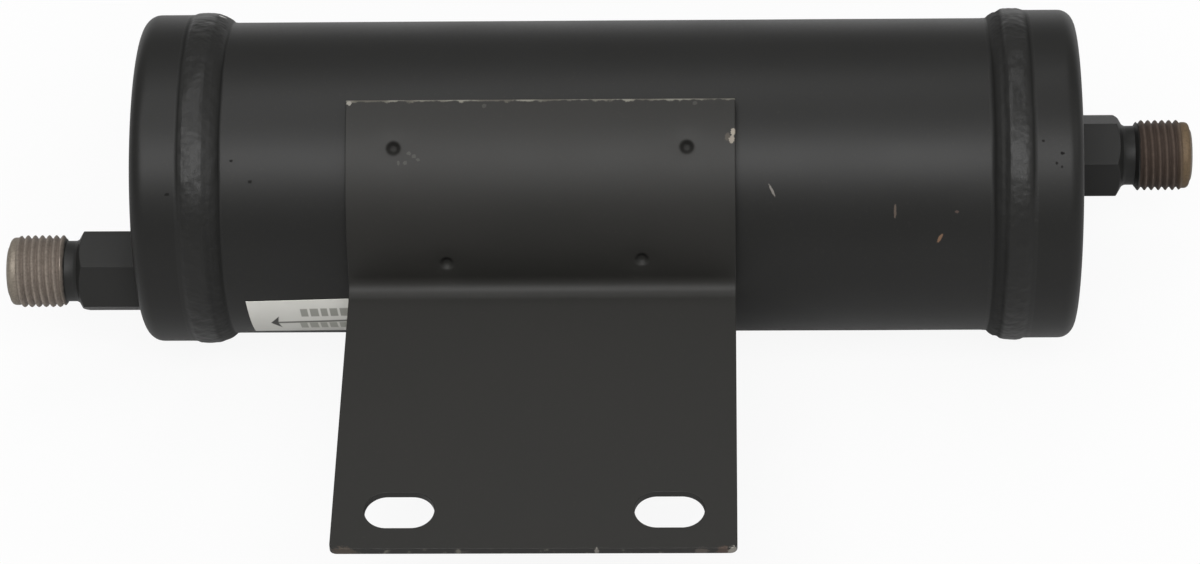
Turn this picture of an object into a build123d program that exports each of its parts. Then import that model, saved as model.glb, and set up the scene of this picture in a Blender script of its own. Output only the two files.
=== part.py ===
"""Receiver drier: a welded steel can with a spring-loaded desiccant bed, on a spot-welded foot bracket.

Millimetres. The origin is the middle of the two foot slots on the foot's mounting face.
+X runs along the can from the outlet to the inlet, -Y points out along the foot, +Z is up from the foot.
Elevations are angles about the can's axis, from the horizontal on the foot's side, positive upwards.
"""

from build123d import *
from math import asin, cos, degrees, radians, sin, sqrt, tan
import os

# Can
tube_od = 62.0
tube_wall = 1.5
can_length = 184.0
cap_wall = 1.5
cap_fit = 0.05
cap_depth = 10.5
cap_corner_radius = 3.0
tube_end_gap = 1.7

# Weld beads that join the end caps to the tube
bead_on_cap = 1.6
bead_on_tube = 7.5
bead_crown_height = 0.45
bead_rise_length = 1.3
bead_crown_length = 4.1
bead_slope_length = 1.2
bead_ridge_length = 1.2
bead_ridge_height = 0.95
bead_corner_radius = 1.0

# Ports and their fittings, 9/16-18 thread with a face seal
port_from_bore = 9.5
outlet_port_angle = -20.8
inlet_port_angle = -145.0
thread_od = 14.29
thread_length = 9.0
thread_lead_od = 13.4
thread_lead_length = 1.5
thread_nose_chamfer = 0.7
thread_edge_break = 0.3
undercut_od = 12.0
undercut_length = 3.1
hex_across_flats = 15.0
outlet_hex_length = 12.8
inlet_hex_length = 11.6
hex_end_od = 12.6
hex_chamfer_angle = 30.0
outlet_hex_turn = 8.5
inlet_hex_turn = 27.0
shank_od = 10.0
shank_inside = 6.0
shank_fit = 0.05
flow_bore = 4.5
seal_groove_od = 11.3
seal_groove_inner_diameter = 7.5
seal_groove_depth = 1.35
seal_inner_diameter = 7.65
seal_section = 1.78
braze_leg = 1.0

# Foot bracket
sheet = 1.5
bracket_width = 75.0
bracket_from_outlet_face = 42.1
slot_axis_distance = 88.7
axis_below_foot = 1.0
saddle_gap = 0.25
saddle_top_angle = 72.5
bend_radius = 4.0
slot_spacing = 50.0
slot_length = 13.0
slot_width = 8.5
slot_edge_distance = 9.3
foot_corner_radius = 1.2

# Spot welds that hold the saddle to the tube
upper_weld_spacing = 56.5
upper_weld_angle = 55.3
lower_weld_spacing = 37.7
lower_weld_angle = 15.2
weld_pit_od = 3.0
weld_pit_floor_od = 1.5
weld_pit_depth = 0.7
weld_nugget_od = 4.5
weld_nugget_fit = 0.02

# Flow label
label_from_outlet_face = 21.6
label_length = 30.0
label_height = 14.2
label_middle_angle = -17.6
label_skew = 2.2
label_thickness = 0.12
label_adhesive = 0.05

# Inner pieces, in the order that the flow leaves them
liner_fit = 0.15
spacer_length = 18.0
spacer_wall = 1.2
plate_thickness = 1.2
plate_hole_od = 5.0
plate_ring_step = 10.0
plate_rings = 2
pad_thickness = 6.0
bed_length = 110.0
spring_plate_rim = 5.0
spring_plate_rim_wall = 0.8
spring_wire_width = 1.8
spring_wire_thickness = 1.6
spring_fit = 0.3
spring_coil_gap = 0.2
spring_end_turns = 1.0
spring_open_turns = 2.5
spring_points_per_turn = 12
strainer_wall = 0.6
strainer_fit = 0.05
strainer_from_braze = 0.5
strainer_reach = 9.0
strainer_windows = 6
strainer_window_width = 2.2
strainer_window_length = 5.5

# What follows from those
tube_radius = tube_od / 2
bore_radius = tube_radius - tube_wall
port_radius = bore_radius - port_from_bore
cap_bore_radius = tube_radius + cap_fit
cap_radius = cap_bore_radius + cap_wall
axis_y = slot_axis_distance
axis_z = -axis_below_foot
outlet_face_x = -bracket_width / 2 - bracket_from_outlet_face
inlet_face_x = outlet_face_x + can_length
liner_radius = bore_radius - liner_fit
saddle_inner_radius = tube_radius + saddle_gap
saddle_outer_radius = saddle_inner_radius + sheet
half_turn = 180
full_turn = 360


def on_can(piece):
    """Moves a piece made about the X axis to the can's axis."""
    return Pos(0, axis_y, axis_z) * piece


def at_outlet(piece):
    """Places a piece made with the outlet cap's face at x = 0 and the can towards +X."""
    return on_can(Pos(outlet_face_x, 0, 0) * piece)


def at_inlet(piece):
    """The same at the other end, with the can towards -X."""
    return on_can(Pos(inlet_face_x, 0, 0) * mirror(piece, about=Plane.YZ))


def around_axis(elevation, radius):
    """The Y and Z of a point at that elevation and distance from the axis."""
    return -radius * cos(radians(elevation)), radius * sin(radians(elevation))


def at_port(piece, elevation):
    """Moves a piece made about the X axis to a port's axis."""
    y, z = around_axis(elevation, port_radius)
    return Pos(0, y, z) * piece


def turned(outline):
    """A solid turned about the X axis from a sketch of distance along X and radius."""
    return revolve(Plane.XZ * outline, Axis.X)


def ring(start, end, outer, inner=0.0):
    """A turned ring or disc from x = start to x = end."""
    middle = (outer + inner) / 2
    return turned(Pos((start + end) / 2, middle) * Rectangle(end - start, outer - inner))


def shell_tube():
    return on_can(ring(outlet_face_x + cap_wall + tube_end_gap, inlet_face_x - cap_wall - tube_end_gap,
                       tube_radius, bore_radius))


def end_cap(elevation):
    """A drawn cup with a rounded edge, and the hole for its fitting's shank."""
    outer = Pos(cap_depth / 2, 0) * Rectangle(cap_depth, 2 * cap_radius)
    outer = fillet(outer.vertices().group_by(Axis.X)[0], cap_corner_radius)
    inner_depth = cap_depth - cap_wall
    inner = Pos(cap_wall + inner_depth / 2, 0) * Rectangle(inner_depth, 2 * cap_bore_radius)
    inner = fillet(inner.vertices().group_by(Axis.X)[0], cap_corner_radius - cap_wall)
    upper_half = Pos(cap_depth / 2, cap_radius / 2) * Rectangle(cap_depth, cap_radius)
    cup = turned((outer - inner) & upper_half)
    hole = at_port(ring(0, cap_wall, shank_od / 2 + shank_fit), elevation)
    return cup - hole


def cap_weld():
    """The bead from the cap's skirt down to the tube: a broad crown, a slope and a low second ridge."""
    start = cap_depth - bead_on_cap
    toe = cap_depth + bead_on_tube
    crown = cap_radius + bead_crown_height
    ridge = tube_radius + bead_ridge_height
    crown_start = start + bead_rise_length
    crown_end = crown_start + bead_crown_length
    ridge_start = crown_end + bead_slope_length
    ridge_end = ridge_start + bead_ridge_length
    top = FilletPolyline((start, cap_radius), (crown_start, crown), (crown_end, crown),
                         (ridge_start, ridge), (ridge_end, ridge), (toe, tube_radius),
                         radius=bead_corner_radius)
    under = Polyline((toe, tube_radius), (cap_depth, tube_radius), (cap_depth, cap_radius),
                     (start, cap_radius))
    return turned(make_face([top, under]))


def fitting(elevation, hex_length, hex_turn):
    """A turned hex-bar fitting: shank, hex, undercut, plain thread land and a grooved sealing face."""
    hex_end = -hex_length
    thread_start = hex_end - undercut_length
    lead_start = thread_start - thread_length
    tip = lead_start - thread_lead_length
    bar = Plane.YZ * Rot(0, 0, hex_turn) * RegularPolygon(hex_across_flats / 2, 6, major_radius=False)
    hexagon = extrude(bar, -hex_length)
    cone_start = hex_end_od / 2
    cone_reach = cone_start + hex_length / tan(radians(hex_chamfer_angle))
    cone = Polyline((hex_end, 0), (hex_end, cone_start), (0, cone_reach), (0, 0), close=True)
    body = (hexagon & turned(make_face(cone))) + ring(0, cap_wall + shank_inside, shank_od / 2)
    body += ring(thread_start, hex_end, undercut_od / 2)
    land = ring(lead_start, thread_start, thread_od / 2)
    land = chamfer(land.edges().filter_by(GeomType.CIRCLE), thread_edge_break)
    nose = ring(tip, lead_start, thread_lead_od / 2)
    nose = chamfer(nose.edges().filter_by(GeomType.CIRCLE).group_by(Axis.X)[0], thread_nose_chamfer)
    body += land
    body += nose
    body -= ring(tip, tip + seal_groove_depth, seal_groove_od / 2, seal_groove_inner_diameter / 2)
    body -= ring(tip, cap_wall + shank_inside, flow_bore / 2)
    return at_port(body, elevation)


def face_seal(elevation, hex_length):
    """The O-ring, which stands a little proud of its groove."""
    floor = -hex_length - undercut_length - thread_length - thread_lead_length + seal_groove_depth
    middle_radius = (seal_inner_diameter + seal_section) / 2
    section = Pos(floor - seal_section / 2, middle_radius) * Circle(seal_section / 2)
    return at_port(turned(section), elevation)


def fitting_braze(elevation):
    """The braze fillet round the shank, on the cap's inner face."""
    root = shank_od / 2
    outline = Polyline((cap_wall, root), (cap_wall + braze_leg, root), (cap_wall, root + braze_leg),
                       close=True)
    return at_port(turned(make_face(outline)), elevation)


def mounting_bracket():
    """One bent sheet: a saddle on the tube, then a foot with two slots."""
    reach = saddle_outer_radius + bend_radius
    rise = sheet + bend_radius - axis_z
    bend_y = axis_y - sqrt(reach ** 2 - rise ** 2)
    bend_z = sheet + bend_radius
    leave = degrees(asin(rise / reach))
    top = half_turn - saddle_top_angle
    wrap = saddle_top_angle - leave
    bend = 90 - leave
    edge_y = -slot_edge_distance
    axis = (axis_y, axis_z)
    outer_saddle = CenterArc(axis, saddle_outer_radius, top, wrap)
    inner_saddle = CenterArc(axis, saddle_inner_radius, top, wrap)
    upper_bend = CenterArc((bend_y, bend_z), bend_radius, -90, bend)
    under_bend = CenterArc((bend_y, bend_z), bend_radius + sheet, -90, bend)
    foot_edges = Polyline((bend_y, sheet), (edge_y, sheet), (edge_y, 0), (bend_y, 0))
    saddle_edge = Line(outer_saddle @ 0, inner_saddle @ 0)
    outline = make_face([outer_saddle, upper_bend, foot_edges, under_bend, inner_saddle, saddle_edge])
    bracket = extrude(Plane.YZ * outline, bracket_width / 2, both=True)
    free_corners = bracket.edges().filter_by(Axis.Z).group_by(Axis.Y)[0]
    bracket = fillet(free_corners, foot_corner_radius)
    slots = [Pos(x, 0) * SlotOverall(slot_length, slot_width) for x in (-slot_spacing / 2, slot_spacing / 2)]
    bracket -= extrude(Sketch() + slots, sheet)
    pit = Cone(weld_pit_floor_od / 2, weld_pit_od / 2, weld_pit_depth,
               align=(Align.CENTER, Align.CENTER, Align.MIN))
    for x, elevation in spot_welds():
        bracket -= radial(x, elevation, saddle_outer_radius - weld_pit_depth) * pit
    return bracket


def spot_welds():
    """Each weld's place along X, and its elevation."""
    upper = [(side * upper_weld_spacing / 2, upper_weld_angle) for side in (-1, 1)]
    lower = [(side * lower_weld_spacing / 2, lower_weld_angle) for side in (-1, 1)]
    return upper + lower


def radial(x, elevation, radius):
    """A location on the can at that elevation and radius, with its local Z pointing outwards."""
    y, z = around_axis(elevation, radius)
    return Location(Plane((x, axis_y + y, axis_z + z), x_dir=(1, 0, 0), z_dir=(0, y, z)))


def bracket_spot_welds():
    """Four fused nuggets that bridge from the saddle to the tube."""
    nugget_outer = saddle_inner_radius - weld_nugget_fit
    nugget_inner = tube_radius + weld_nugget_fit
    gap = on_can(ring(-bracket_width / 2, bracket_width / 2, nugget_outer, nugget_inner))
    nuggets = []
    for x, elevation in spot_welds():
        plug = radial(x, elevation, tube_radius) * Cylinder(weld_nugget_od / 2, 2 * sheet)
        nuggets.append((plug & gap).solids()[0])
    return Compound(nuggets)


def flow_label():
    """A thin printed label on the tube beside the foot, stuck on a little askew."""
    middle = outlet_face_x + label_from_outlet_face + label_length / 2
    inner = tube_radius + label_adhesive
    film = on_can(ring(middle - label_length, middle + label_length, inner + label_thickness, inner))
    cut = radial(middle, label_middle_angle, inner) * Rot(0, 0, label_skew)
    return cut * Box(label_length, label_height, 2 * sheet) & film


def perforated_disc(start):
    """A round plate with its centre hole and rings of holes, thickness towards +X."""
    plate = ring(start, start + plate_thickness, liner_radius)
    drill = ring(start, start + plate_thickness, plate_hole_od / 2)
    plate -= drill
    for number in range(1, plate_rings + 1):
        count = 6 * number
        for step in range(count):
            y, z = around_axis(full_turn * step / count, number * plate_ring_step)
            plate -= Pos(0, y, z) * drill
    return plate


spacer_start = outlet_face_x + cap_wall
outlet_plate_start = spacer_start + spacer_length
outlet_pad_start = outlet_plate_start + plate_thickness
bed_start = outlet_pad_start + pad_thickness
inlet_pad_start = bed_start + bed_length
inlet_plate_start = inlet_pad_start + pad_thickness
spring_start = inlet_plate_start + plate_thickness
spring_end = inlet_face_x - cap_wall


def plate_spacer():
    """The sleeve that holds the bed off the outlet."""
    return on_can(ring(spacer_start, outlet_plate_start, liner_radius, liner_radius - spacer_wall))


def spring_plate():
    """The moving end's plate, with a turned-up rim that centres the spring."""
    rim = ring(spring_start, spring_start + spring_plate_rim,
               liner_radius, liner_radius - spring_plate_rim_wall)
    return on_can(perforated_disc(inlet_plate_start) + rim)


def bed_spring():
    """A compression spring of flat wire, its end coils closed and ground, round the inlet shank."""
    coil_radius = liner_radius - spring_plate_rim_wall - spring_fit - spring_wire_width / 2
    turns = spring_open_turns + 2 * spring_end_turns
    steps = round(turns * spring_points_per_turn)
    line = Spline([spring_point(turns * step / steps, coil_radius) for step in range(steps + 1)])
    section = Plane(line @ 0, x_dir=(0, 1, 0), z_dir=line % 0)
    wire = sweep(section * Rectangle(spring_wire_width, spring_wire_thickness), path=line, is_frenet=True)
    ground = ring(spring_start, spring_end, bore_radius)
    return on_can(wire & ground)


def spring_point(turn, radius):
    """A point on the coil's centre line, that many turns from the spring's plate."""
    closed_pitch = spring_wire_thickness + spring_coil_gap
    open_length = spring_end - spring_start - 2 * spring_end_turns * closed_pitch
    open_share = min(max(turn - spring_end_turns, 0) / spring_open_turns, 1)
    closed_turns = turn - open_share * spring_open_turns
    y, z = around_axis(turn * full_turn, radius)
    return spring_start + closed_turns * closed_pitch + open_share * open_length, y, z


def outlet_strainer():
    """A thimble screen pushed onto the outlet shank, with windows in its wall."""
    inner = shank_od / 2 + strainer_fit
    outer = inner + strainer_wall
    start = cap_wall + braze_leg + strainer_from_braze
    end = cap_wall + shank_inside + strainer_reach
    thimble = ring(start, end, outer) - ring(start, end - strainer_wall, inner)
    window = Box(strainer_window_length, strainer_window_width, 2 * outer,
                 align=(Align.CENTER, Align.CENTER, Align.MIN))
    middle = (cap_wall + shank_inside + end - strainer_wall) / 2
    for step in range(strainer_windows):
        thimble -= Rot(full_turn * step / strainer_windows, 0, 0) * Pos(middle, 0, 0) * window
    return at_port(thimble, outlet_port_angle)


pieces = {
    "shell_tube": shell_tube(),
    "outlet_end_cap": at_outlet(end_cap(outlet_port_angle)),
    "inlet_end_cap": at_inlet(end_cap(inlet_port_angle)),
    "outlet_cap_weld": at_outlet(cap_weld()),
    "inlet_cap_weld": at_inlet(cap_weld()),
    "outlet_fitting": at_outlet(fitting(outlet_port_angle, outlet_hex_length, outlet_hex_turn)),
    "inlet_fitting": at_inlet(fitting(inlet_port_angle, inlet_hex_length, inlet_hex_turn)),
    "outlet_fitting_braze": at_outlet(fitting_braze(outlet_port_angle)),
    "inlet_fitting_braze": at_inlet(fitting_braze(inlet_port_angle)),
    "outlet_face_seal": at_outlet(face_seal(outlet_port_angle, outlet_hex_length)),
    "inlet_face_seal": at_inlet(face_seal(inlet_port_angle, inlet_hex_length)),
    "mounting_bracket": mounting_bracket(),
    "bracket_spot_welds": bracket_spot_welds(),
    "flow_label": flow_label(),
    "outlet_plate_spacer": plate_spacer(),
    "outlet_perforated_plate": on_can(perforated_disc(outlet_plate_start)),
    "outlet_filter_pad": on_can(ring(outlet_pad_start, bed_start, liner_radius)),
    "desiccant_bed": on_can(ring(bed_start, inlet_pad_start, liner_radius)),
    "inlet_filter_pad": on_can(ring(inlet_pad_start, inlet_plate_start, liner_radius)),
    "inlet_perforated_plate": spring_plate(),
    "bed_spring": bed_spring(),
    "outlet_strainer": at_outlet(outlet_strainer()),
}

os.makedirs("parts", exist_ok=True)
for name, piece in pieces.items():
    export_step(piece, f"parts/{name}.step")
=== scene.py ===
"""Looks of a receiver drier: a black painted steel can with two threaded fittings and a slotted foot bracket.

Metres, in the part's own frame: +X along the can from outlet to inlet, -Y out along the foot, +Z up from it.
Elevations are angles about the can's axis, from the horizontal on the foot's side, positive upwards.
"""

from math import asin, atan2, cos, exp, hypot, pi, radians, sin, sqrt, tan

import bmesh
import bpy
import numpy as np
from mathutils import Matrix, Vector, noise


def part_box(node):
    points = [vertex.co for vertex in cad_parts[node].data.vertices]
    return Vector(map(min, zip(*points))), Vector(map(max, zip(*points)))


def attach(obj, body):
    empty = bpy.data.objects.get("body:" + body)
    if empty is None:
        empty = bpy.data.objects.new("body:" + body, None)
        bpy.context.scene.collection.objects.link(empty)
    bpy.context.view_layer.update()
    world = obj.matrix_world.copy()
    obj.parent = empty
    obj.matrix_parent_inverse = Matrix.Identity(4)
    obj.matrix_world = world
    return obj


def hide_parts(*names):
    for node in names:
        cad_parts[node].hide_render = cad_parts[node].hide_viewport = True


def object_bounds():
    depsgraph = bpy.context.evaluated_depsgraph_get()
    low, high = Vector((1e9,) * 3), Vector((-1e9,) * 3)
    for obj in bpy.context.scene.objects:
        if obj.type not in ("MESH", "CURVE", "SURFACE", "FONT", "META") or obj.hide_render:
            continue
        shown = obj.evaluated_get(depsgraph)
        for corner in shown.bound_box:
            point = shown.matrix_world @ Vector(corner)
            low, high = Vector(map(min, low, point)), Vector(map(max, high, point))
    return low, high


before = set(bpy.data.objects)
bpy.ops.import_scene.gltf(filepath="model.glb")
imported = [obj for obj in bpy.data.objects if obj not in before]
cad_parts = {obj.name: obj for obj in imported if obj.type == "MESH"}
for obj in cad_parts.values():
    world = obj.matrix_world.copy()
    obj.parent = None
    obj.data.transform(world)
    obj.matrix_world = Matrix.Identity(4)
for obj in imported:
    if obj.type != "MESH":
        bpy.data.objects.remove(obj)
cad_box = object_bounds()

# The can's body: a length of welded steel tube, 62 mm across with a 1.5 mm wall.
# It was degreased and sprayed with black enamel after welding: even paint with a soft sheen, and a few
# knocks that go down to bare steel or rust.
mm = 0.001
tube_low, tube_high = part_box("shell_tube")
axis_y = (tube_low.y + tube_high.y) / 2
axis_z = (tube_low.z + tube_high.z) / 2
tube_radius = (tube_high.z - tube_low.z) / 2
tube_wall = 1.5 * mm
tube_wave = 0.02 * mm
tube_wave_length = 22 * mm
paint_drift = 25 * mm
paint_dust = 0.7 * mm
orange_peel = 0.9 * mm
orange_peel_height = 0.004 * mm
mark_tear = 0.35 * mm
rub_tear = 1.6 * mm
rub_stain = 6 * mm
turns = np.linspace(0, 2 * pi, 289)


def hoop(x, radius, elevation, y=axis_y, z=axis_z):
    """Points round a line along X, at that distance from it and those elevations."""
    x, across, up = np.broadcast_arrays(x, y - radius * np.cos(elevation), z + radius * np.sin(elevation))
    return np.stack([x, across, up], axis=-1)


def unevenness(points, size, seed):
    """Smooth noise from about -1 to 1 at each point, with lumps of that size."""
    flat = points.reshape(-1, 3) / size + 17.3 * seed
    return np.array([noise.noise(Vector(p)) for p in flat]).reshape(points.shape[:-1])


def skin(name, vertices, faces, sharp, **values):
    """An object from vertices and faces, welded where points meet, with any values kept for each vertex.

    Its edges are sharp where the faces meet at more than that angle."""
    shape = bmesh.new()
    layers = {key: shape.verts.layers.float.new(key) for key in values}
    corners = [shape.verts.new(v) for v in vertices]
    for key, layer in layers.items():
        for corner, value in zip(corners, values[key]):
            corner[layer] = value
    for face in faces:
        shape.faces.new([corners[i] for i in face])
    bmesh.ops.remove_doubles(shape, verts=shape.verts, dist=0.002 * mm)
    bmesh.ops.recalc_face_normals(shape, faces=shape.faces)
    mesh = bpy.data.meshes.new(name)
    shape.to_mesh(mesh)
    shape.free()
    mesh.shade_smooth()
    mesh.set_sharp_from_angle(angle=radians(sharp))
    piece = bpy.data.objects.new(name, mesh)
    bpy.context.scene.collection.objects.link(piece)
    return piece


def turned(name, hoops, sharp=32, closed=True, **values):
    """A skin over hoops of points, where each hoop ends at its first point.

    Where closed, the last hoop joins the first."""
    hoops = np.array(hoops)
    here = np.arange(hoops.shape[0] * hoops.shape[1]).reshape(hoops.shape[:2])
    after = np.roll(here, -1, axis=0)
    faces = np.stack([here[:, :-1], here[:, 1:], after[:, 1:], after[:, :-1]], axis=-1)
    faces = faces if closed else faces[:-1]
    return skin(name, hoops.reshape(-1, 3).tolist(), faces.reshape(-1, 4).tolist(), sharp, **values)


def linear(code):
    """The linear colour of an sRGB hex code."""
    channels = [int(code[i:i + 2], 16) / 255 for i in (1, 3, 5)]
    return [c / 12.92 if c <= 0.04045 else ((c + 0.055) / 1.055) ** 2.4 for c in channels] + [1.0]


def new_material(name):
    """An empty material."""
    material = bpy.data.materials.new(name)
    material.use_nodes = True
    material.node_tree.nodes.clear()
    return material


def add(material, kind, inputs=None, output=0, **settings):
    """Adds a node and gives one of its outputs. Each input takes a value, or an output to link to it."""
    node = material.node_tree.nodes.new("ShaderNode" + kind)
    for name, value in settings.items():
        setattr(node, name, value)
    for name, value in (inputs or {}).items():
        if isinstance(value, bpy.types.NodeSocket):
            material.node_tree.links.new(value, node.inputs[name])
        else:
            node.inputs[name].default_value = value
    return node.outputs[output] if node.outputs else None


def mark(material, place, x, elevation, radius, length, width, turn=0):
    """A mask for one ragged mark on the can, 1 inside it: its middle, length, width and turn."""
    outward = Vector((0, -cos(elevation), sin(elevation)))
    upward = Vector((0, sin(elevation), cos(elevation)))
    along = Vector((1, 0, 0)) * cos(turn) + upward * sin(turn)
    facing = Matrix((along, outward.cross(along), outward)).transposed()
    middle = Vector((x, axis_y, axis_z)) + outward * radius
    inside = add(material, "Mapping", {"Vector": place, "Location": middle, "Rotation": facing.to_euler(),
                                       "Scale": (length / 2, width / 2, mm)}, vector_type="TEXTURE")
    reach = add(material, "VectorMath", {0: inside}, "Value", operation="LENGTH")
    torn = add(material, "TexNoise", {"Vector": place, "Scale": 1 / mark_tear, "Detail": 2.0})
    edge = add(material, "Math", {0: torn, 1: 1.2, 2: reach}, operation="MULTIPLY_ADD")
    return add(material, "MapRange", {"Value": edge, "From Min": 1.75, "From Max": 1.45},
               interpolation_type="SMOOTHSTEP")


def enamel(name, shades, dullness, gloss, peel, peel_height, marks=(), rubbed=False, hollow=False):
    """Black enamel, sprayed on steel: near black, a broad soft sheen and a faint orange peel.

    Shades are its darkest, its lightest and its dust's. Each mark is its place and size, colour, metallic
    and roughness. If rubbed, the mesh says how much, and steel shows. Where the mesh gives dirt and
    shade, the paint turns dull and darker: painted shade, with dirt only along the weld's toe."""
    material = new_material(name)
    darkest, lightest, dusty = (linear(code) for code in shades)
    place = add(material, "TexCoord", output="Object")
    drift = add(material, "TexNoise", {"Vector": place, "Scale": 1 / paint_drift, "Detail": 3.0})
    speck = add(material, "TexNoise", {"Vector": place, "Scale": 1 / paint_dust, "Detail": 3.0})
    colour = add(material, "Mix", {0: drift, 6: darkest, 7: lightest}, 2, data_type="RGBA")
    dust = add(material, "MapRange", {"Value": speck, "From Min": 0.6, "From Max": 0.8, "To Max": 0.4})
    colour = add(material, "Mix", {0: dust, 6: colour, 7: dusty}, 2, data_type="RGBA")
    rough = add(material, "Math", {0: drift, 1: 0.1, 2: dullness - 0.09}, operation="MULTIPLY_ADD")
    rough = add(material, "Math", {0: speck, 1: 0.07, 2: rough}, operation="MULTIPLY_ADD")
    metallic = 0.0
    if hollow:
        # Where the mesh says so the paint turns dull, and where the value is high its colour and shine go
        # down to a black metal's: painted shade in the weld's grooves and the pits, with dirt along the toe.
        depth = add(material, "Attribute", output="Fac", attribute_name="hollow")
        rough = add(material, "Mix", {0: depth, 2: rough, 3: 1.0})
        metallic = add(material, "Math", {0: depth, 1: depth}, operation="MULTIPLY")
        colour = add(material, "Mix", {0: metallic, 6: colour, 7: linear("#080807")}, 2, data_type="RGBA")
    if rubbed:
        rub = add(material, "Attribute", output="Fac", attribute_name="rubbed")
        torn = add(material, "TexNoise", {"Vector": place, "Scale": 1 / rub_tear, "Detail": 4.0})
        rub = add(material, "Math", {0: torn, 1: 1.3, 2: rub}, operation="MULTIPLY_ADD")
        rub = add(material, "MapRange", {"Value": rub, "From Min": 1.35, "From Max": 1.6},
                  interpolation_type="SMOOTHSTEP")
        shade = add(material, "TexNoise", {"Vector": place, "Scale": 1 / rub_stain, "Detail": 2.0})
        shade = add(material, "MapRange", {"Value": shade, "From Min": 0.42, "From Max": 0.58})
        bare = add(material, "Mix", {0: shade, 6: linear("#514e47"), 7: linear("#75736a")}, 2,
                   data_type="RGBA")
        colour = add(material, "Mix", {0: rub, 6: colour, 7: bare}, 2, data_type="RGBA")
        metal = add(material, "Math", {0: rub, 1: 0.3}, operation="MULTIPLY")
        metallic = add(material, "Math", {0: metal, 1: metallic}, operation="MAXIMUM")
    for where, code, mark_metal, mark_dullness in marks:
        mask = mark(material, place, *where)
        colour = add(material, "Mix", {0: mask, 6: colour, 7: linear(code)}, 2, data_type="RGBA")
        rough = add(material, "Mix", {0: mask, 2: rough, 3: mark_dullness})
        metal = add(material, "Math", {0: mask, 1: mark_metal}, operation="MULTIPLY")
        metallic = add(material, "Math", {0: metal, 1: metallic}, operation="MAXIMUM")
    dimples = add(material, "TexNoise", {"Vector": place, "Scale": 1 / peel, "Detail": 2.0})
    bumps = add(material, "Bump", {"Height": dimples, "Distance": peel_height, "Strength": 1.0})
    paint = add(material, "BsdfPrincipled", {"Base Color": colour, "Roughness": rough, "Metallic": metallic,
                                             "Specular IOR Level": gloss, "Normal": bumps})
    add(material, "OutputMaterial", {"Surface": paint})
    return material


can_black = "#191918", "#1e1e1d", "#2c2b29"
hoops = []
for x in np.linspace(tube_low.x, tube_high.x, 64):
    points = hoop(x, tube_radius, turns)
    hoops.append(hoop(x, tube_radius - tube_wave * (1 + unevenness(points, tube_wave_length, 1)), turns))
hoops += [hoop(x, tube_radius - tube_wall, turns) for x in (tube_high.x, tube_low.x)]
tube = turned("painted_tube", hoops)
tube_marks = [
    ((44.5 * mm, radians(40.1), tube_radius, 2.5 * mm, 0.45 * mm, radians(117)), "#6f6b66", 0.3, 0.5),
    ((68.1 * mm, radians(32.4), tube_radius, 2.6 * mm, 0.5 * mm, radians(88)), "#4c433c", 0.0, 0.7),
    ((76.8 * mm, radians(22.3), tube_radius, 2.1 * mm, 0.6 * mm, radians(65)), "#67503f", 0.0, 0.7),
    ((79.9 * mm, radians(32.1), tube_radius, 0.8 * mm, 0.5 * mm), "#453a35", 0.0, 0.7),
    ((-59.6 * mm, radians(51.6), tube_radius, 0.7 * mm, 0.5 * mm), "#0c0b0a", 0.0, 0.8),
    ((-56.0 * mm, radians(44.1), tube_radius, 0.8 * mm, 0.6 * mm), "#0c0b0a", 0.0, 0.8),
]
tube.data.materials.append(enamel("satin_black_enamel_on_tube", can_black, 0.45, 0.23,
                                  orange_peel, orange_peel_height, tube_marks))
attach(tube, "root")
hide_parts("shell_tube")

# The two end caps: cups drawn from 1.5 mm steel and pushed over the tube's ends.
# Each has a rounded edge, and one hole off its centre for a fitting. They are sprayed with the tube.
cap_wall = 1.5 * mm
cap_corner = 3.0 * mm
shank_hole = 5.05 * mm
cap_low, cap_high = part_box("outlet_end_cap")
cap_radius = (cap_high.z - cap_low.z) / 2
quarter = np.linspace(0, pi / 2, 11)


def port_axis(seal_node):
    """The Y and Z of a fitting's axis, which is the middle of its sealing ring."""
    low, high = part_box(seal_node)
    return (low.y + high.y) / 2, (low.z + high.z) / 2


def end_cap(name, node, seal_node, inward, marks):
    """One cup, from the node's box; inward is the way to the can's middle along X."""
    low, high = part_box(node)
    face_x = low.x if inward > 0 else high.x
    flat = cap_radius - cap_corner
    inside = cap_radius - cap_wall
    inner_corner = cap_corner - cap_wall
    profile = [(cap_corner * (1 - cos(a)), flat + cap_corner * sin(a)) for a in quarter]
    profile += [(s, cap_radius) for s in np.linspace(cap_corner, high.x - low.x, 12)[1:]]
    profile += [(s, inside) for s in np.linspace(high.x - low.x, cap_corner, 4)]
    profile += [(cap_corner - inner_corner * sin(a), inside - inner_corner * (1 - cos(a)))
                for a in quarter[1:]]
    cup = [hoop(face_x + inward * s, r, turns) for s, r in profile]
    hole, inner_hole = (hoop(face_x + inward * s, shank_hole, turns, *port_axis(seal_node))
                        for s in (0, cap_wall))
    piece = turned(name, [hole, (hole + cup[0]) / 2] + cup + [inner_hole])
    piece.data.materials.append(enamel("satin_black_enamel_on_" + node, can_black, 0.45, 0.215,
                                       orange_peel, orange_peel_height, marks))
    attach(piece, "root")
    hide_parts(node)


end_cap("painted_outlet_cap", "outlet_end_cap", "outlet_face_seal", 1, [
    ((-71.9 * mm, radians(40), cap_radius, 0.9 * mm, 0.6 * mm, radians(20)), "#090908", 0.0, 0.8)])
end_cap("painted_inlet_cap", "inlet_end_cap", "inlet_face_seal", -1, [
    ((100.0 * mm, radians(52.4), cap_radius, 0.8 * mm, 0.6 * mm), "#0a0908", 0.0, 0.8),
    ((98.9 * mm, radians(49.1), cap_radius, 0.6 * mm, 0.5 * mm), "#11100f", 0.0, 0.8),
    ((99.9 * mm, radians(47.9), cap_radius, 0.5 * mm, 0.5 * mm), "#11100f", 0.0, 0.8),
    ((96.4 * mm, radians(56.7), cap_radius, 0.5 * mm, 0.5 * mm), "#11100f", 0.0, 0.8)])

# Inside the can, the steel parts that hold the bed: a sleeve and two pierced plates of cold-rolled sheet.
# Rolling left faint lines along the sheet, so it looks bright but streaked.
rolling_line = 0.15 * mm
rolling_depth = 0.005 * mm


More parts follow.
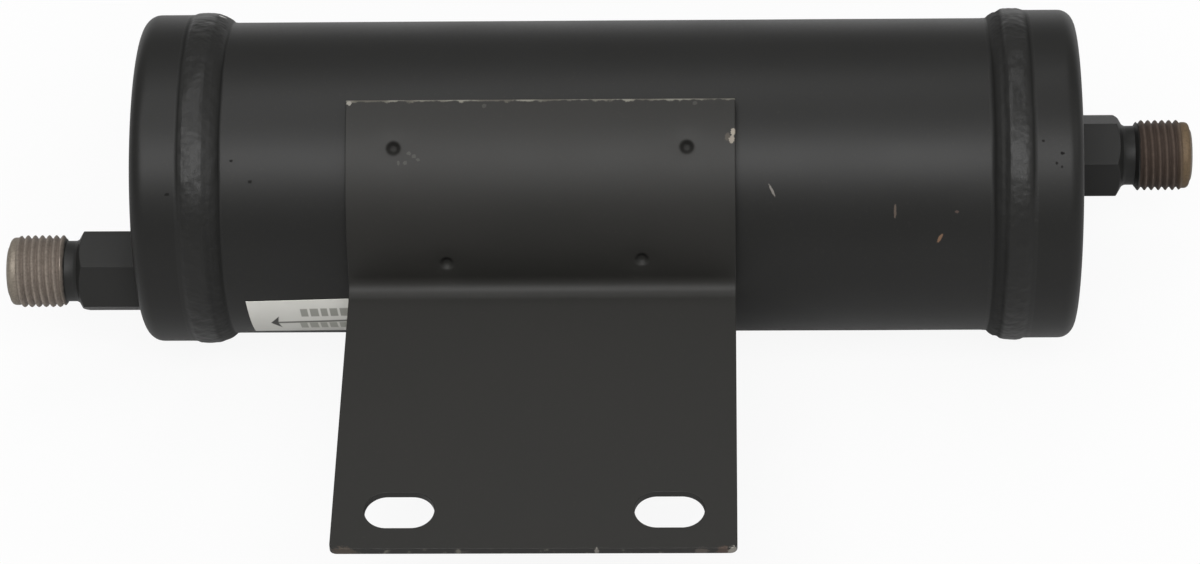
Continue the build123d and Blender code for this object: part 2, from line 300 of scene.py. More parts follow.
def dress(material, *nodes):
    """Gives CAD nodes that stay as they are that material."""
    for node in nodes:
        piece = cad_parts[node]
        piece.data.materials.clear()
        piece.data.materials.append(material)


rolled = new_material("cold_rolled_steel")
place = add(rolled, "TexCoord", output="Object")
stretched = add(rolled, "Mapping", {"Vector": place, "Scale": (0.6, 0.05, 1.0)})
lines = add(rolled, "TexNoise", {"Vector": stretched, "Scale": 1 / rolling_line, "Detail": 3.0})
colour = add(rolled, "Mix", {0: lines, 6: linear("#7e7d7a"), 7: linear("#a9a8a4")}, 2, data_type="RGBA")
rough = add(rolled, "MapRange", {"Value": lines, "To Min": 0.28, "To Max": 0.44})
bumps = add(rolled, "Bump", {"Height": lines, "Distance": rolling_depth})
shader = add(rolled, "BsdfPrincipled", {"Base Color": colour, "Roughness": rough, "Metallic": 1.0,
                                        "Normal": bumps})
add(rolled, "OutputMaterial", {"Surface": shader})
dress(rolled, "outlet_plate_spacer", "outlet_perforated_plate", "inlet_perforated_plate")

# The bed's spring: flat wire, hardened in oil, coiled and ground flat at its ends.
# The oil left it blue-black, with a dull shine along the coil.
oil_tint = 3 * mm
wire_scale = 0.3 * mm
wire_scale_height = 0.01 * mm
spring = new_material("oil_hardened_spring_wire")
place = add(spring, "TexCoord", output="Object")
tint = add(spring, "TexNoise", {"Vector": place, "Scale": 1 / oil_tint, "Detail": 3.0})
colour = add(spring, "Mix", {0: tint, 6: linear("#2c2d33"), 7: linear("#4d4a46")}, 2, data_type="RGBA")
rough = add(spring, "MapRange", {"Value": tint, "To Min": 0.3, "To Max": 0.5})
flakes = add(spring, "TexNoise", {"Vector": place, "Scale": 1 / wire_scale, "Detail": 2.0})
bumps = add(spring, "Bump", {"Height": flakes, "Distance": wire_scale_height})
shader = add(spring, "BsdfPrincipled", {"Base Color": colour, "Roughness": rough, "Metallic": 0.9,
                                        "Normal": bumps})
add(spring, "OutputMaterial", {"Surface": shader})
dress(spring, "bed_spring")

# The filter pads: needled polyester felt, punched out as discs.
# Off-white, with no shine and a tangle of fibres. They are drawn 0.5 mm apart, coarser than real, to show.
fibre_spacing = 0.5 * mm
fibre_curl = 2 * mm
fibre_stray = 3 * mm
fibre_height = 0.12 * mm
felt = new_material("needled_polyester_felt")
place = add(felt, "TexCoord", output="Object")
bent_fibres = add(felt, "TexNoise", {"Vector": place, "Scale": 1 / fibre_curl, "Detail": 2.0}, "Color")
bent_fibres = add(felt, "VectorMath", {0: bent_fibres, 1: (fibre_stray, fibre_stray, fibre_stray), 2: place},
                  operation="MULTIPLY_ADD")
fibres = add(felt, "TexVoronoi", {"Vector": bent_fibres, "Scale": 1 / fibre_spacing}, "Distance",
             feature="DISTANCE_TO_EDGE")
colour = add(felt, "Mix", {0: fibres, 6: linear("#d9d5c9"), 7: linear("#b3ad9f")}, 2, data_type="RGBA")
bumps = add(felt, "Bump", {"Height": fibres, "Distance": fibre_height})
shader = add(felt, "BsdfPrincipled", {"Base Color": colour, "Roughness": 0.95, "Sheen Weight": 0.3,
                                      "Normal": bumps})
add(felt, "OutputMaterial", {"Surface": shader})
dress(felt, "outlet_filter_pad", "inlet_filter_pad")

# The desiccant bed: molecular sieve beads about 2 mm across, poured in and shaken down.
# Each bead is a matt fired clay ball, buff to pale tan, with painted shade in the gaps between them.
bead_size = 2.0 * mm
bead_height = 0.8 * mm
sieve = new_material("molecular_sieve_beads")
place = add(sieve, "TexCoord", output="Object")
balls = add(sieve, "TexVoronoi", {"Vector": place, "Scale": 1 / bead_size, "Randomness": 0.6}, "Distance")
tone = add(sieve, "TexVoronoi", {"Vector": place, "Scale": 1 / bead_size, "Randomness": 0.6}, "Color")
tone = add(sieve, "SeparateXYZ", {"Vector": tone}, "X")
colour = add(sieve, "Mix", {0: tone, 6: linear("#c2ab88"), 7: linear("#dccaa8")}, 2, data_type="RGBA")
# The gaps between the beads are darkened with painted shade.
gap_shade = add(sieve, "MapRange", {"Value": balls, "From Min": 0.45, "From Max": 0.75})
colour = add(sieve, "Mix", {0: gap_shade, 6: colour, 7: linear("#5a4c38")}, 2, data_type="RGBA")
height = add(sieve, "MapRange", {"Value": balls, "From Min": 0.0, "From Max": 0.7,
                                 "To Min": 1.0, "To Max": 0.0}, interpolation_type="SMOOTHSTEP")
bumps = add(sieve, "Bump", {"Height": height, "Distance": bead_height})
shader = add(sieve, "BsdfPrincipled", {"Base Color": colour, "Roughness": 0.9, "Normal": bumps})
add(sieve, "OutputMaterial", {"Surface": shader})
dress(sieve, "desiccant_bed")

# The strainer on the outlet's shank: stainless wire cloth, rolled to a thimble and pinched shut.
# Its weave is drawn at 0.5 mm, coarser than the real 0.15 mm, so that the wires show.
weave = 0.5 * mm
weave_height = 0.08 * mm
strainer_low, strainer_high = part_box("outlet_strainer")
warp_wires = round(pi * (strainer_high.z - strainer_low.z) / weave)
gauze = new_material("woven_stainless_cloth")
place = add(gauze, "TexCoord", output="Object")
place = add(gauze, "VectorMath", {0: place, 1: (strainer_low + strainer_high) / 2}, operation="SUBTRACT")
along = add(gauze, "SeparateXYZ", {"Vector": place}, "X")
around = add(gauze, "Math", {0: along.node.outputs["Z"], 1: along.node.outputs["Y"]}, operation="ARCTAN2")
flat = add(gauze, "VectorMath", {0: place, 1: (0, 1, 1)}, operation="MULTIPLY")
radius = add(gauze, "VectorMath", {0: flat}, "Value", operation="LENGTH")
along = add(gauze, "Math", {0: along, 1: radius}, operation="ADD")
along = add(gauze, "Math", {0: along, 1: 2 * pi / weave}, operation="MULTIPLY")
around = add(gauze, "Math", {0: around, 1: warp_wires}, operation="MULTIPLY")
weft = add(gauze, "Math", {0: along}, operation="SINE")
warp = add(gauze, "Math", {0: around}, operation="SINE")
wires = add(gauze, "Math", {0: warp, 1: weft}, operation="MAXIMUM")
wires = add(gauze, "MapRange", {"Value": wires, "From Min": -0.6, "From Max": 0.9})
# Between the wires the cloth is painted near black, for the shade inside the thimble seen through it.
colour = add(gauze, "Mix", {0: wires, 6: linear("#1d1c1b"), 7: linear("#a3a19b")}, 2, data_type="RGBA")
bumps = add(gauze, "Bump", {"Height": wires, "Distance": weave_height})
shader = add(gauze, "BsdfPrincipled", {"Base Color": colour, "Roughness": 0.45, "Metallic": 1.0,
                                       "Normal": bumps})
add(gauze, "OutputMaterial", {"Surface": shader})
dress(gauze, "outlet_strainer")

# The two weld beads: laid round each cap's rim with a wire gun while the can turned on rollers.
# The crown is broad and mottled. It falls to a low, dull second ridge along its toe. Painted shade darkens
# the groove on the cap's side and the crease, and dirt with painted shade darkens the line along the toe.
# A drop of spatter stuck to the outlet's bead, and its glint is painted in as a light grey spot.
bead_rings = 60
bead_turns = np.linspace(0, 2 * pi, 721)
bead_crown = 0.4 * mm
bead_reach = 0.45 * mm
bead_calm = 0.8 * mm
bead_lump = 0.12 * mm
bead_lump_size = 3.0 * mm
bead_grain = 0.035 * mm
bead_grain_size = 0.8 * mm
bead_ripple = 0.022 * mm
bead_ripples = 104
ripple_bow = 3 * mm
ripple_sway = 1.6
ripple_sway_size = 5 * mm
bead_root = 0.12 * mm
bead_crease = 6.0 * mm
crease_width = 0.5 * mm
dull_start = 5.3 * mm
dull_rise = 0.8 * mm
dull_end = 0.3 * mm
line_wander = 0.25 * mm
line_wander_size = 4 * mm
crease_shade_patch = 2.5 * mm
dirt_and_shade_peak = 1.3
dirt_and_shade_limit = 0.63
weld_peel = 0.55 * mm
weld_peel_height = 0.035 * mm
# The spatter's glint is painted in: a light grey spot on the black bead.
spatter_glint = [((-64.2 * mm, radians(127), tube_radius + 1 * mm, 1.8 * mm, 1.3 * mm), "#c4c2be", 0.0, 0.5)]
bead_paint = enamel("satin_black_enamel_on_weld", can_black, 0.43, 0.26, weld_peel, weld_peel_height,
                    spatter_glint, hollow=True)
# The painted shade of these lines, with dirt at the toe, is darkest high on the can and fades out
# low down, the groove's sooner than the toe's.
groove_shade = 0.52 * np.clip(3 * np.cos(bead_turns - radians(73)) - 1.7, 0.15, 1)
toe_dirt_and_shade = 0.6 * np.clip(2 * np.cos(bead_turns - radians(63)) - 0.9, 0.15, 1)


def weld_bead(name, node, cap_node, inward, seed, groove, groove_width, toe, toe_width, shoulder, dullness,
              crease_shade):
    """One bead from the cap's skirt over the rim down to the tube; inward is the way to the can's middle.

    Groove and toe are how far the darkened lines on its two sides are from its start: painted shade at the
    groove, dirt and painted shade at the toe. The shoulder is three heights over the tube, from the crease at
    the crown's foot on. It is dull, and shade is painted in the crease."""
    low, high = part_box(node)
    skirt_low, skirt_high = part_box(cap_node)
    start = low.x if inward > 0 else high.x
    rim = skirt_high.x if inward > 0 else skirt_low.x
    length = high.x - low.x
    on_cap = abs(rim - start)
    crown = cap_radius + bead_crown
    outline = np.array([
        (0, cap_radius + 0.01 * mm),
        (groove, cap_radius + 0.02 * mm),
        (groove + 0.4 * mm, cap_radius + 0.14 * mm),
        (groove + 0.85 * mm, crown - 0.1 * mm),
        (2.3 * mm, crown - 0.02 * mm),
        (3.4 * mm, crown),
        (4.8 * mm, crown - 0.04 * mm),
        (5.4 * mm, crown - 0.16 * mm),
        (bead_crease, tube_radius + shoulder[0]),
        (6.4 * mm, tube_radius + shoulder[1]),
        (6.9 * mm, tube_radius + shoulder[2]),
        (toe - 1.1 * mm, tube_radius + 0.96 * mm),
        (toe - 0.6 * mm, tube_radius + 0.65 * mm),
        (toe, tube_radius + 0.04 * mm),
        (length, tube_radius)])
    along = np.linspace(0, length, bead_rings)
    hoops, hollows = [], []
    for s, radius in zip(along, np.interp(along, outline[:, 0], outline[:, 1])):
        points = hoop(start + inward * s, radius, bead_turns)
        loose = np.clip(min(s - groove, toe - s) / bead_calm, 0, 1)
        lumps = unevenness(points, bead_lump_size, seed)
        lumps = lumps + 0.5 * unevenness(points, bead_lump_size / 2, seed + 1)
        grain = unevenness(points, bead_grain_size, seed + 4)
        lag = 0.5 * (s / ripple_bow - 1) ** 2 + ripple_sway * unevenness(points, ripple_sway_size, seed + 2)
        ripples = np.abs(np.sin(bead_turns * bead_ripples / 2 + pi * lag))
        uneven = radius + loose * (bead_lump * lumps + bead_grain * grain - bead_ripple * ripples)
        hoops.append(hoop(start + inward * s, np.minimum(uneven, cap_radius + bead_reach), bead_turns))
        wander = line_wander * unevenness(hoop(start, radius, bead_turns), line_wander_size, seed + 3)
        patchy = 1 + unevenness(points, crease_shade_patch, seed + 3)
        # Darkened lines: painted shade at the groove and the crease, dirt and painted shade at the toe.
        on_cap_side = groove_shade * (dirt_and_shade_peak - np.abs(s - groove + 0.3 * wander) / groove_width)
        on_tube_side = toe_dirt_and_shade * (dirt_and_shade_peak - np.abs(s - toe + 0.3 * wander) / toe_width)
        crease = crease_shade * patchy * np.clip(1 - np.abs(s - bead_crease + wander) / crease_width, 0, 1)
        dull = dullness * np.clip(min((s - dull_start) / dull_rise, (toe + dull_end - s) / dull_end), 0, 1)
        dirt_and_shade_here = np.maximum(np.maximum(on_cap_side, on_tube_side), crease + dull)
        hollows.append(np.clip(dirt_and_shade_here, 0, dirt_and_shade_limit))
    for s, radius in ((length, tube_radius), (on_cap, tube_radius), (on_cap, cap_radius), (0, cap_radius)):
        hoops.append(hoop(start + inward * s, radius - bead_root, bead_turns))
        hollows.append(np.ones(len(bead_turns)))
    piece = turned(name, hoops, 70, hollow=np.ravel(hollows))
    piece.data.materials.append(bead_paint)
    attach(piece, "root")
    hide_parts(node)


weld_bead("outlet_weld_bead", "outlet_cap_weld", "outlet_end_cap", 1, seed=3,
          groove=0.7 * mm, groove_width=0.55 * mm, toe=8.6 * mm, toe_width=0.4 * mm,
          shoulder=(1.56 * mm, 1.42 * mm, 1.25 * mm), dullness=0.25, crease_shade=0.05)
weld_bead("inlet_weld_bead", "inlet_cap_weld", "inlet_end_cap", -1, seed=8,
          groove=0.9 * mm, groove_width=0.75 * mm, toe=8.25 * mm, toe_width=0.7 * mm,
          shoulder=(1.35 * mm, 1.17 * mm, 1.1 * mm), dullness=0.42, crease_shade=0.12)

# The two fittings: turned from 15 mm hexagon bar, with a 9/16-18 thread and a grooved sealing face.
# The hexagon and undercut took the can's paint. The threads were capped, so they are bare steel:
# the outlet's has gone grey and the inlet's has rusted brown.
thread_pitch = 25.4 / 18 * mm
thread_radius = 7.145 * mm
thread_depth = 0.7 * mm
thread_length = 9.0 * mm
thread_lead = 0.5 * mm
thread_first_root = 0.9 * mm
thread_run_out = 0.7 * mm
thread_shape = [(share / 8, 0.5 - 0.5 * cos(share * pi / 4)) for share in range(8)]
nose_radius = 6.7 * mm
nose_length = 1.5 * mm
nose_corner = 0.9 * mm
undercut_radius = 6.0 * mm
undercut_length = 3.1 * mm
undercut_fillet = 0.6 * mm
hex_half_width = 7.5 * mm
hex_end_radius = 6.3 * mm
hex_chamfer = radians(30)
hex_chamfer_reach = 1.5 * mm
hex_edge = 0.01 * mm
shank_radius = 5.0 * mm
bore_radius = 2.25 * mm
bore_break = 0.3 * mm
groove_depth = 1.35 * mm
groove_outer = 5.65 * mm
groove_inner = 3.75 * mm
stain_cloud = 2.2 * mm
stain_fleck = 0.5 * mm
stain_height = 0.01 * mm
paint_edge = 0.7 * mm
fitting_turns = np.linspace(0, 2 * pi, 145)


def fitting_finish(name, node, seal_node, outward, bare_length, crest, stain, nose, dullness, metal):
    """Turned steel: bare and stained for that length from its tip, with black enamel from there inwards."""
    low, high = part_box(node)
    tip = Vector((high.x if outward > 0 else low.x, *port_axis(seal_node)))
    material = new_material(name)
    place = add(material, "TexCoord", output="Object")
    from_tip = add(material, "VectorMath", {0: place, 1: tip}, operation="SUBTRACT")
    along = add(material, "SeparateXYZ", {"Vector": from_tip}, "X")
    along = add(material, "Math", {0: along}, operation="ABSOLUTE")
    flat = add(material, "VectorMath", {0: from_tip, 1: (0, 1, 1)}, operation="MULTIPLY")
    radius = add(material, "VectorMath", {0: flat}, "Value", operation="LENGTH")
    cloud = add(material, "TexNoise", {"Vector": place, "Scale": 1 / stain_cloud, "Detail": 4.0,
                                       "Roughness": 0.65})
    fleck = add(material, "TexNoise", {"Vector": place, "Scale": 1 / stain_fleck, "Detail": 3.0})
    high_up = add(material, "MapRange", {"Value": radius, "From Min": thread_radius - thread_depth,
                                         "From Max": thread_radius})
    steel = add(material, "Mix", {0: high_up, 6: linear(stain), 7: linear(crest)}, 2, data_type="RGBA")
    cloudy = add(material, "MapRange", {"Value": cloud, "From Min": 0.45, "From Max": 0.7, "To Max": 0.6})
    steel = add(material, "Mix", {0: cloudy, 6: steel, 7: linear(stain)}, 2, data_type="RGBA")
    on_nose = add(material, "MapRange", {"Value": along, "From Min": nose_length + 1.4 * mm,
                                         "From Max": nose_length - 0.5 * mm}, interpolation_type="SMOOTHSTEP")
    steel = add(material, "Mix", {0: on_nose, 6: steel, 7: linear(nose)}, 2, data_type="RGBA")
    flecks = add(material, "MapRange", {"Value": fleck, "From Min": 0.45, "From Max": 0.75, "To Max": 0.35})
    steel = add(material, "Mix", {0: flecks, 6: steel, 7: linear("#3a322c")}, 2, data_type="RGBA")
    ragged = add(material, "Math", {0: cloud, 1: -paint_edge, 2: along}, operation="MULTIPLY_ADD")
    painted = add(material, "MapRange", {"Value": ragged, "From Min": bare_length - 0.5 * mm,
                                         "From Max": bare_length - 0.2 * mm})
    colour = add(material, "Mix", {0: painted, 6: steel, 7: linear("#20201f")}, 2, data_type="RGBA")
    rough = add(material, "Mix", {0: painted, 2: dullness, 3: 0.42})
    rough = add(material, "Math", {0: fleck, 1: 0.12, 2: rough}, operation="MULTIPLY_ADD")
    bare = add(material, "MapRange", {"Value": painted, "To Min": metal, "To Max": 0.0})
    bumps = add(material, "Bump", {"Height": fleck, "Distance": stain_height})
    shader = add(material, "BsdfPrincipled", {"Base Color": colour, "Roughness": rough, "Metallic": bare,
                                              "Specular IOR Level": 0.25, "Normal": bumps})
    add(material, "OutputMaterial", {"Surface": shader})
    return material


def fitting(name, node, seal_node, outward, hex_length, hex_turn, thread_start, finish):
    """One fitting from its sealing face to the end of its shank; outward is the way out of the can along X.

    The helix starts at that share of a turn."""
    low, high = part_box(node)
    tip = high.x if outward > 0 else low.x
    thread_end = nose_length + thread_length
    hex_start = thread_end + undercut_length
    hex_end = hex_start + hex_length
    side = fitting_turns % (pi / 3) - pi / 6
    hexagon = np.minimum(hex_half_width / np.cos(side), hex_half_width / cos(pi / 6) - hex_edge)
    undercut_drop = hex_end_radius - undercut_radius
    rings = [(groove_depth, groove_inner), (0, groove_inner), (0, bore_radius + bore_break),
             (bore_break, bore_radius), (high.x - low.x, bore_radius), (high.x - low.x, shank_radius),
             (hex_end, shank_radius)]
    rings += [(s, hexagon) for s in np.linspace(hex_end, hex_start + hex_chamfer_reach, 6)]
    rings += [(s, np.minimum(hexagon, hex_end_radius + (s - hex_start) / tan(hex_chamfer)))
              for s in np.linspace(hex_start + hex_chamfer_reach - 0.1 * mm, hex_start, 24)]
    rings += [(hex_start - undercut_fillet * sin(a), hex_end_radius - undercut_drop * sin(a))
              for a in np.linspace(0, pi / 2, 6)]
    helix = thread_start + outward * fitting_turns / (2 * pi)
    for turn in range(int(thread_length / thread_pitch) + 3, -3, -1):
        for share, depth in reversed(thread_shape):
            s = np.clip((turn + share + helix) * thread_pitch, 0, thread_length + thread_run_out)
            run_in = nose_radius + s / thread_lead * (thread_radius - nose_radius)
            run_out = thread_radius - (s - thread_length) / thread_run_out * (thread_radius - undercut_radius)
            shallow = nose_radius - s / thread_first_root * (nose_radius - thread_radius + thread_depth)
            ridge = np.maximum(thread_radius - depth * thread_depth, shallow)
            rings.append((nose_length + s, np.minimum(np.minimum(run_in, run_out), ridge)))
    rings += [(nose_length, nose_radius)]
    rings += [(nose_corner * (1 - sin(a)), nose_radius - nose_corner * (1 - cos(a)))
              for a in np.linspace(0, pi / 2, 7)]
    rings += [(0, groove_outer), (groove_depth, groove_outer)]
    around = fitting_turns - radians(hex_turn)
    piece = turned(name, [hoop(tip - outward * s, r, around, *port_axis(seal_node)) for s, r in rings], 40)
    piece.data.materials.append(finish)
    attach(piece, "root")
    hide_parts(node)


grey_steel = fitting_finish("turned_steel_gone_grey", "outlet_fitting", "outlet_face_seal", -1,
                            bare_length=10.9 * mm, crest="#948a80", stain="#786f67", nose="#81796e",
                            dullness=0.5, metal=0.5)
fitting("threaded_outlet_fitting", "outlet_fitting", "outlet_face_seal", -1,
        hex_length=12.8 * mm, hex_turn=8.5, thread_start=-0.38, finish=grey_steel)
rusty_steel = fitting_finish("turned_steel_rusted_brown", "inlet_fitting", "inlet_face_seal", 1,
                             bare_length=10.2 * mm, crest="#594d45", stain="#443a34", nose="#655541",
                             dullness=0.55, metal=0.3)
fitting("threaded_inlet_fitting", "inlet_fitting", "inlet_face_seal", 1,
        hex_length=11.6 * mm, hex_turn=27.0, thread_start=0.27, finish=rusty_steel)

# The fillets that seal each shank in its cap: brass, drawn in by heat and left as it set.
# A warm yellow metal, clouded brown by the flame.
flame_cloud = 1.5 * mm
flame_height = 0.05 * mm
brass = new_material("brazed_brass")
place = add(brass, "TexCoord", output="Object")
cloud = add(brass, "TexNoise", {"Vector": place, "Scale": 1 / flame_cloud, "Detail": 3.0})
colour = add(brass, "Mix", {0: cloud, 6: linear("#b98d4a"), 7: linear("#6d4b2b")}, 2, data_type="RGBA")
rough = add(brass, "MapRange", {"Value": cloud, "To Min": 0.25, "To Max": 0.55})
bumps = add(brass, "Bump", {"Height": cloud, "Distance": flame_height})
shader = add(brass, "BsdfPrincipled", {"Base Color": colour, "Roughness": rough, "Metallic": 1.0,
                                       "Normal": bumps})
add(brass, "OutputMaterial", {"Surface": shader})
dress(brass, "outlet_fitting_braze", "inlet_fitting_braze")

# The sealing rings in the fittings' faces: moulded nitrile rubber, dusted with talc in the mould.
# The talc turns the black rubber a patchy warm grey, nearly as pale as the steel beside it.
talc_patch = 0.4 * mm
talc_height = 0.01 * mm
rubber = new_material("moulded_nitrile_rubber")
place = add(rubber, "TexCoord", output="Object")
dust = add(rubber, "TexNoise", {"Vector": place, "Scale": 1 / talc_patch, "Detail": 3.0})
colour = add(rubber, "Mix", {0: dust, 6: linear("#4a453f"), 7: linear("#8f877c")}, 2, data_type="RGBA")
rough = add(rubber, "MapRange", {"Value": dust, "To Min": 0.45, "To Max": 0.75})
bumps = add(rubber, "Bump", {"Height": dust, "Distance": talc_height})
shader = add(rubber, "BsdfPrincipled", {"Base Color": colour, "Roughness": rough, "Normal": bumps})
add(rubber, "OutputMaterial", {"Surface": shader})
dress(rubber, "outlet_face_seal", "inlet_face_seal")

# The four spot welds between the saddle and the tube: nuggets of their own steel, fused by the current.
# The heat left them grey with a straw and blue tint.
heat_tint = 1.2 * mm
heat_height = 0.03 * mm
nugget = new_material("fused_steel_nugget")
place = add(nugget, "TexCoord", output="Object")
heat = add(nugget, "TexNoise", {"Vector": place, "Scale": 1 / heat_tint, "Detail": 3.0})
colour = add(nugget, "Mix", {0: heat, 6: linear("#4b4e57"), 7: linear("#7b6a4e")}, 2, data_type="RGBA")
bumps = add(nugget, "Bump", {"Height": heat, "Distance": heat_height})
shader = add(nugget, "BsdfPrincipled", {"Base Color": colour, "Roughness": 0.5, "Metallic": 1.0,
                                        "Normal": bumps})
add(nugget, "OutputMaterial", {"Surface": shader})
dress(nugget, "bracket_spot_welds")

# The foot bracket: one blank of 1.5 mm steel sheet, rolled to the can at one end and bent flat for the foot.
# Its slots were punched first. Four spot welds hold it, each a pit from the welding tip in a shallow dish,
# with painted shade on the pit's walls.
# The paint is rubbed through to steel along the sheared edges.
sheet = 1.5 * mm
saddle_gap = 0.25 * mm
bend_radius = 3.4 * mm
saddle_top = radians(72.5)
sheared_edge = 0.2 * mm
slot_spacing = 50.0 * mm
slot_length = 13.0 * mm
slot_width = 8.5 * mm
foot_corner = 1.2 * mm
pit_places = ((-28.2 * mm, radians(55.3), 0.2), (28.2 * mm, radians(55.3), 0.2),
              (-18.3 * mm, radians(14.6), 0.75), (19.4 * mm, radians(15.9), 0.75))
pit_radius = 1.5 * mm
pit_floor = 0.5 * mm
pit_depth = 0.7 * mm
dish_radius = 2.8 * mm
dish_depth = 0.22 * mm
# The pits' walls are darkened with painted shade, up to these limits.
pit_shade_ring = 0.95 * mm
pit_shade_width = 0.55 * mm
pit_shade_peak = 1.1
pit_shade_floor = 0.4
pit_shade_limit = 0.57
rub_reach = 1.0 * mm
bracket_peel_height = 0.003 * mm
saddle_rub, foot_rub, underside_rub, side_rub, slot_rub = 1.15, 0.55, 0.66, 0.4, 0.3
bracket_low, bracket_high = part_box("mounting_bracket")
half_width = (bracket_high.x - bracket_low.x) / 2
foot_edge = bracket_low.y
saddle_radius = tube_radius + saddle_gap + sheet
bend_reach = saddle_radius + bend_radius
bend_rise = sheet + bend_radius - axis_z
saddle_end = asin(bend_rise / bend_reach)
bend_y = axis_y - sqrt(bend_reach ** 2 - bend_rise ** 2)
saddle_run = (saddle_top - saddle_end) * saddle_radius
bend_run = (pi / 2 - saddle_end) * bend_radius
blank_length = saddle_run + bend_run + bend_y - foot_edge
slot_run = blank_length + foot_edge
pit_spots = [(x, (saddle_top - elevation) * saddle_radius, lean) for x, elevation, lean in pit_places]


def bent(x, run, depth):
    """Where a point of the flat blank lies once bent: across, down from the saddle's edge, into the sheet."""
    if run < saddle_run:
        elevation = saddle_top - run / saddle_radius
        radius = saddle_radius - depth
        return x, axis_y - radius * cos(elevation), axis_z + radius * sin(elevation)
    if run < saddle_run + bend_run:
        turn = saddle_end + (run - saddle_run) / bend_radius
        radius = bend_radius + depth
        return x, bend_y + radius * cos(turn), sheet + bend_radius - radius * sin(turn)
    return x, bend_y - (run - saddle_run - bend_run), sheet - depth


def pitted(x, run):
    """How deep the welding tips pressed the face at that place of the blank."""
    depth = 0
    for pit_x, pit_run, _ in pit_spots:
        away = hypot(x - pit_x, run - pit_run)
        wall = min(max((pit_radius - away) / (pit_radius - pit_floor), 0), 1)
        depth += pit_depth * wall * wall * (3 - 2 * wall) + dish_depth * exp(-((away / dish_radius) ** 2))
    return depth


def pit_shade(x, run):
    """How much shade is painted on the pits' walls at that place of the blank.

    Where a pit leans, the painted shade lies mostly on its upper wall, which faces away from the light."""
    away, above, lean = min((hypot(x - pit_x, run - pit_run), pit_run - run, pit_lean)
                            for pit_x, pit_run, pit_lean in pit_spots)
    share = 1 - lean * (1 - above / max(away, 0.1 * mm)) / 2
    inside = pit_shade_floor if away < pit_shade_ring else 0
    return share * min(max(pit_shade_peak - abs(away - pit_shade_ring) / pit_shade_width, inside), pit_shade_limit)


grid_step = 2.2 * mm
grid_growth = 0.4
row_step = 1.6 * mm
slot_step = 0.8 * mm
edge_step = 0.4 * mm
corner_step = 0.3 * mm
pit_step = 0.25 * mm
pit_zone = 1.7 * mm
slot_zone_along = 9 * mm
slot_zone_across = 7 * mm
slot_margin = 1.6 * mm
slot_ring = 0.5 * mm


def spaced(low, high, step, zones):
    """Grid lines from low to high, with that step outside the zones.

    Each zone is its place, its half width and the step inside it."""
    lines = [low]
    while lines[-1] < high:
        here = lines[-1]
        lines.append(here + min([step] + [fine + grid_growth * max(abs(here - place) - half, 0)
                                          for place, half, fine in zones]))
    return [low + (line - low) * (high - low) / (lines[-1] - low) for line in lines]


columns = spaced(-half_width, half_width, grid_step,
                 [(x, pit_zone, pit_step) for x, _, _ in pit_spots] +
                 [(side * slot_spacing / 2, slot_zone_along, slot_step) for side in (-1, 1)] +
                 [(side * half_width, 0, edge_step) for side in (-1, 1)])
rows = spaced(0, blank_length, row_step,
              [(run, pit_zone, pit_step) for _, run, _ in pit_spots] +
              [(0, 0, edge_step), (saddle_run + bend_run / 2, bend_run / 2, edge_step)] +
              [(slot_run, slot_zone_across, slot_step), (blank_length, foot_corner, corner_step)])
last_column, last_row = len(columns) - 1, len(rows) - 1


def slot_side(column, row):
    """Which slot that grid square is left out for: -1, 1, or 0 where it stays."""
    if not (0 <= column < last_column and 0 <= row < last_row):
        return 0
    x = (columns[column] + columns[column + 1]) / 2
    run = (rows[row] + rows[row + 1]) / 2
    for side in (-1, 1):
        if (abs(x - side * slot_spacing / 2) < slot_length / 2 + slot_margin
                and abs(run - slot_run) < slot_width / 2 + slot_margin):
            return side
    return 0


vertices, faces, rubs, pit_shades, at = [], [], [], [], {}
for top in (True, False):
    for i, x in enumerate(columns):
        for j, run in enumerate(rows):
            past = max(run - (blank_length - foot_corner), 0)
            narrowing = foot_corner - sqrt(max(foot_corner ** 2 - past ** 2, 0))
            at[top, i, j] = len(vertices)
            vertices.append(bent(x * (1 - narrowing / half_width), run, pitted(x, run) if top else sheet))
            foot_end_rub = foot_rub if top else underside_rub
            rubs.append(max(saddle_rub * exp(-run / rub_reach),
                            foot_end_rub * exp(-(blank_length - run) / rub_reach),
                            side_rub * exp(-(half_width - abs(x)) / rub_reach)))
            pit_shades.append(pit_shade(x, run) if top else 0)
loops = {-1: [], 1: []}
for i in range(last_column):
    for j in range(last_row):
        side = slot_side(i, j)
        corners = ((i, j), (i + 1, j), (i + 1, j + 1), (i, j + 1))
        if not side:
            faces += [[at[top, *corner] for corner in corners] for top in (True, False)]
            continue
        for di, dj, a, b in ((0, -1, 0, 1), (1, 0, 1, 2), (0, 1, 2, 3), (-1, 0, 3, 0)):
            if not slot_side(i + di, j + dj):
                loops[side].append((corners[a], corners[b]))
border = [(i, 0) for i in range(last_column)] + [(last_column, j) for j in range(last_row)]
border += [(i, last_row) for i in range(last_column, 0, -1)] + [(0, j) for j in range(last_row, 0, -1)]
for here, after in zip(border, border[1:] + border[:1]):
    faces.append([at[True, *here], at[True, *after], at[False, *after], at[False, *here]])
straight = (slot_length - slot_width) / 2
